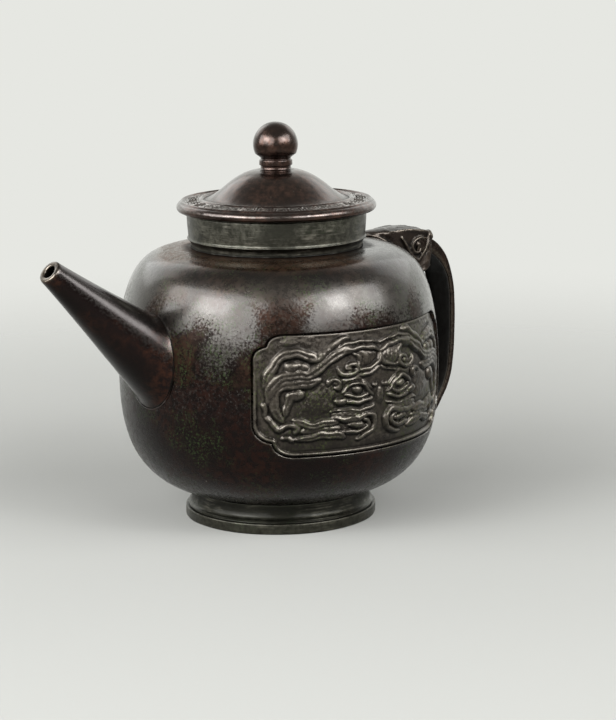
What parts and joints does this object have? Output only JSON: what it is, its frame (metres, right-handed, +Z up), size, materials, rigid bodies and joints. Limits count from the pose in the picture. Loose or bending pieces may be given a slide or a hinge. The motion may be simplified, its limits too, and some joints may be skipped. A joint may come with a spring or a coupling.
{
  "type": "water dropper",
  "caption": "Bronze desk water dropper shaped like a small teapot, with straight spout, loop handle with beast head, relief panels, foot ring and lift-off knobbed lid.",
  "frame": {"origin": "on the table plane, below the middle of the whole dropper's length and width", "axes": "+Z up, +X from the spout towards the handle, +Y across from the front relief panel to the back one; the pot's own upright axis stands at X = 6.04 mm"},
  "size_m": [0.112, 0.072, 0.0887],
  "materials": {
    "dark_patina": "polished brown-black patina",
    "green_patina": "satin olive-grey patina with verdigris",
    "lid_patina": "polished red-brown patina",
    "relief_patina": "worn relief with olive recesses",
    "inner_bronze": "dull, unpolished cast bronze"
  },
  "bodies": {
    "pot": {"body_shell": "dark_patina", "neck_collar": "green_patina", "foot_ring": "green_patina", "base_plate": "inner_bronze", "spout": "dark_patina", "handle_strap": "dark_patina", "handle_head": "dark_patina", "front_panel": "relief_patina", "back_panel": "relief_patina"},
    "lid_seat": {"locating_ring": "inner_bronze"},
    "lid": {"lid_plate": "lid_patina", "lid_knob": "lid_patina", "knob_washer": "inner_bronze"}
  },
  "joints": [
    {"name": "lid_lift", "type": "slide", "parent": "pot", "child": "lid_seat", "axis": [0, 0, 1], "range_m": [0, 0.03]},
    {"name": "lid_turn", "type": "hinge", "parent": "lid_seat", "child": "lid", "pos_m": [0.00604, 0, 0.06895], "axis": [0, 0, 1], "continuous": true}
  ]
}
